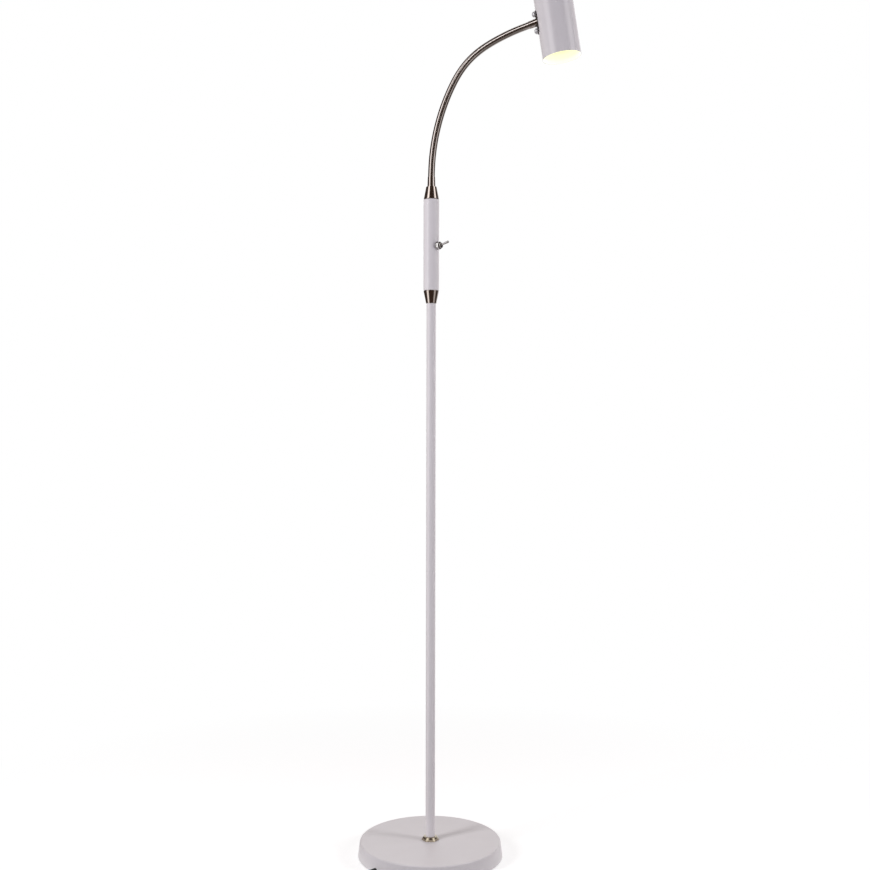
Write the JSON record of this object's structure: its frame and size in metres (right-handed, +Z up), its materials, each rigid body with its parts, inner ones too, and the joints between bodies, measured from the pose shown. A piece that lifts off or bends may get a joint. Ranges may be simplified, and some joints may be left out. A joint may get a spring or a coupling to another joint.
{
  "type": "floor lamp",
  "caption": "Slim floor lamp with a weighted round base, a straight pole, a toggle switch housing and a flexible gooseneck that carries a small cylindrical spot shade.",
  "frame": {"origin": "middle of the base pad's underside, on the floor under the pole", "axes": "+Z up along the pole, +X towards the side that the neck leans over to, -Y towards the front"},
  "size_m": [0.389, 0.3349, 1.3967],
  "materials": {
    "paint": "satin",
    "cement": "matte",
    "pad": "matte",
    "zinc": "satin",
    "polished_nickel": "polished",
    "satin_nickel": "satin",
    "dark_steel": "satin",
    "bright_chrome": "polished",
    "switch_plastic": "matte",
    "brass": "satin",
    "cord_black": "satin",
    "tie": "matte",
    "ceramic": "satin",
    "lamp_shell": "gloss",
    "lamp_glow": "satin"
  },
  "bodies": {
    "stand": {"base_cover": "paint", "base_weight": "cement", "base_pad": "pad", "base_stud": "zinc", "base_washer": "zinc", "base_lock_nut": "zinc", "pole_base_nut": "polished_nickel", "lower_pole": "paint", "pole_foot_insert": "zinc", "pole_joiner": "zinc", "upper_pole": "paint", "pole_top_insert": "zinc", "lower_cone": "polished_nickel", "lower_nipple": "zinc", "switch_housing": "paint", "upper_cone": "polished_nickel", "upper_nipple": "zinc", "nipple_nuts": "zinc", "switch_body": "switch_plastic", "switch_bushing": "bright_chrome", "switch_pin": "bright_chrome", "switch_washer": "bright_chrome", "switch_nut": "bright_chrome", "switch_terminals": "brass", "supply_lead": "cord_black", "neck_lower_sleeve": "satin_nickel", "strain_relief": "cord_black", "cord_run": "cord_black", "cord_coil": "cord_black", "cord_tail": "cord_black", "cord_tie": "tie", "plug_body": "cord_black", "plug_pins": "brass"},
    "neck_link_01": {"neck_link_01": "satin_nickel"},
    "neck_link_02": {"neck_link_02": "satin_nickel"},
    "neck_link_03": {"neck_link_03": "satin_nickel"},
    "neck_link_04": {"neck_link_04": "satin_nickel"},
    "neck_link_05": {"neck_link_05": "satin_nickel"},
    "neck_link_06": {"neck_link_06": "satin_nickel"},
    "neck_link_07": {"neck_link_07": "satin_nickel"},
    "neck_link_08": {"neck_link_08": "satin_nickel"},
    "neck_link_09": {"neck_link_09": "satin_nickel"},
    "neck_link_10": {"neck_link_10": "satin_nickel"},
    "neck_link_11": {"neck_link_11": "satin_nickel"},
    "neck_link_12": {"neck_link_12": "satin_nickel"},
    "neck_link_13": {"neck_link_13": "satin_nickel"},
    "neck_link_14": {"neck_link_14": "satin_nickel"},
    "neck_link_15": {"neck_link_15": "satin_nickel"},
    "head": {"neck_upper_sleeve": "satin_nickel", "head_saddle": "dark_steel", "saddle_screws": "bright_chrome", "shade": "paint", "lamp_holder": "ceramic", "holder_angle": "zinc", "holder_screws": "zinc", "lamp_body": "lamp_shell", "lamp_lens": "lamp_glow", "lamp_pins": "zinc"},
    "switch_lever": {"switch_lever": "bright_chrome"}
  },
  "joints": [
    {"name": "neck_lower_bend", "type": "hinge", "parent": "stand", "child": "neck_link_01", "pos_m": [0, 0, 1.086], "axis": [0, 1, 0], "range_deg": [-11.73, 8.8]},
    {"name": "neck_lower_swing", "type": "hinge", "parent": "neck_link_01", "child": "neck_link_02", "pos_m": [0.00086, 0, 1.10648], "axis": [0.9974, 0, -0.0721], "range_deg": [-7.5, 7.5]},
    {"name": "neck_bend_03", "type": "hinge", "parent": "neck_link_02", "child": "neck_link_03", "pos_m": [0.00296, 0, 1.12687], "axis": [0, 1, 0], "range_deg": [-13.85, 10.39]},
    {"name": "neck_swing_04", "type": "hinge", "parent": "neck_link_03", "child": "neck_link_04", "pos_m": [0.00628, 0, 1.14709], "axis": [0.9814, 0, -0.1918], "range_deg": [-7.51, 7.51]},
    {"name": "neck_bend_05", "type": "hinge", "parent": "neck_link_04", "child": "neck_link_05", "pos_m": [0.01081, 0, 1.16708], "axis": [0, 1, 0], "range_deg": [-13.85, 10.39]},
    {"name": "neck_swing_06", "type": "hinge", "parent": "neck_link_05", "child": "neck_link_06", "pos_m": [0.01655, 0, 1.18676], "axis": [0.9512, 0, -0.3087], "range_deg": [-7.51, 7.51]},
    {"name": "neck_bend_07", "type": "hinge", "parent": "neck_link_06", "child": "neck_link_07", "pos_m": [0.02346, 0, 1.20606], "axis": [0, 1, 0], "range_deg": [-14.77, 11.08]},
    {"name": "neck_swing_08", "type": "hinge", "parent": "neck_link_07", "child": "neck_link_08", "pos_m": [0.03153, 0, 1.2249], "axis": [0.9053, 0, -0.4247], "range_deg": [-7.51, 7.51]},
    {"name": "neck_upper_bend", "type": "hinge", "parent": "neck_link_08", "child": "neck_link_09", "pos_m": [0.04086, 0, 1.24315], "axis": [0, 1, 0], "range_deg": [-15.39, 13.85]},
    {"name": "neck_upper_swing", "type": "hinge", "parent": "neck_link_09", "child": "neck_link_10", "pos_m": [0.05229, 0, 1.26017], "axis": [0.786, 0, -0.6182], "range_deg": [-7.5, 7.5]},
    {"name": "neck_bend_11", "type": "hinge", "parent": "neck_link_10", "child": "neck_link_11", "pos_m": [0.06613, 0, 1.27529], "axis": [0, 1, 0], "range_deg": [-15.49, 13.94]},
    {"name": "neck_swing_12", "type": "hinge", "parent": "neck_link_11", "child": "neck_link_12", "pos_m": [0.08208, 0, 1.28816], "axis": [0.5804, 0, -0.8143], "range_deg": [-7.51, 7.51]},
    {"name": "neck_bend_13", "type": "hinge", "parent": "neck_link_12", "child": "neck_link_13", "pos_m": [0.09946, 0, 1.29904], "axis": [0, 1, 0], "range_deg": [-7.44, 6.7]},
    {"name": "neck_swing_14", "type": "hinge", "parent": "neck_link_13", "child": "neck_link_14", "pos_m": [0.11755, 0, 1.30868], "axis": [0.4436, 0, -0.8962], "range_deg": [-7.51, 7.51]},
    {"name": "neck_bend_15", "type": "hinge", "parent": "neck_link_14", "child": "neck_link_15", "pos_m": [0.13618, 0, 1.31722], "axis": [0, 1, 0], "range_deg": [-4.62, 4.16]},
    {"name": "neck_swing_16", "type": "hinge", "parent": "neck_link_15", "child": "head", "pos_m": [0.1553, 0, 1.32461], "axis": [0.3514, 0, -0.9362], "range_deg": [-7.51, 7.51]},
    {"name": "switch_toggle", "type": "hinge", "parent": "stand", "child": "switch_lever", "pos_m": [0.01304, -0.01019, 0.971], "axis": [-0.6157, -0.788, 0], "range_deg": [-28, 0]}
  ],
  "couplings": [
    {"joint": "neck_bend_03", "follows": "neck_lower_bend", "ratio": 1.1799},
    {"joint": "neck_swing_04", "follows": "neck_lower_swing", "ratio": 1},
    {"joint": "neck_bend_05", "follows": "neck_lower_bend", "ratio": 1.1799},
    {"joint": "neck_swing_06", "follows": "neck_lower_swing", "ratio": 1},
    {"joint": "neck_bend_07", "follows": "neck_lower_bend", "ratio": 1.2583},
    {"joint": "neck_swing_08", "follows": "neck_lower_swing", "ratio": 1},
    {"joint": "neck_bend_11", "follows": "neck_upper_bend", "ratio": 1.0061},
    {"joint": "neck_swing_12", "follows": "neck_upper_swing", "ratio": 1},
    {"joint": "neck_bend_13", "follows": "neck_upper_bend", "ratio": 0.483},
    {"joint": "neck_swing_14", "follows": "neck_upper_swing", "ratio": 1},
    {"joint": "neck_bend_15", "follows": "neck_upper_bend", "ratio": 0.29932},
    {"joint": "neck_swing_16", "follows": "neck_upper_swing", "ratio": 1}
  ]
}
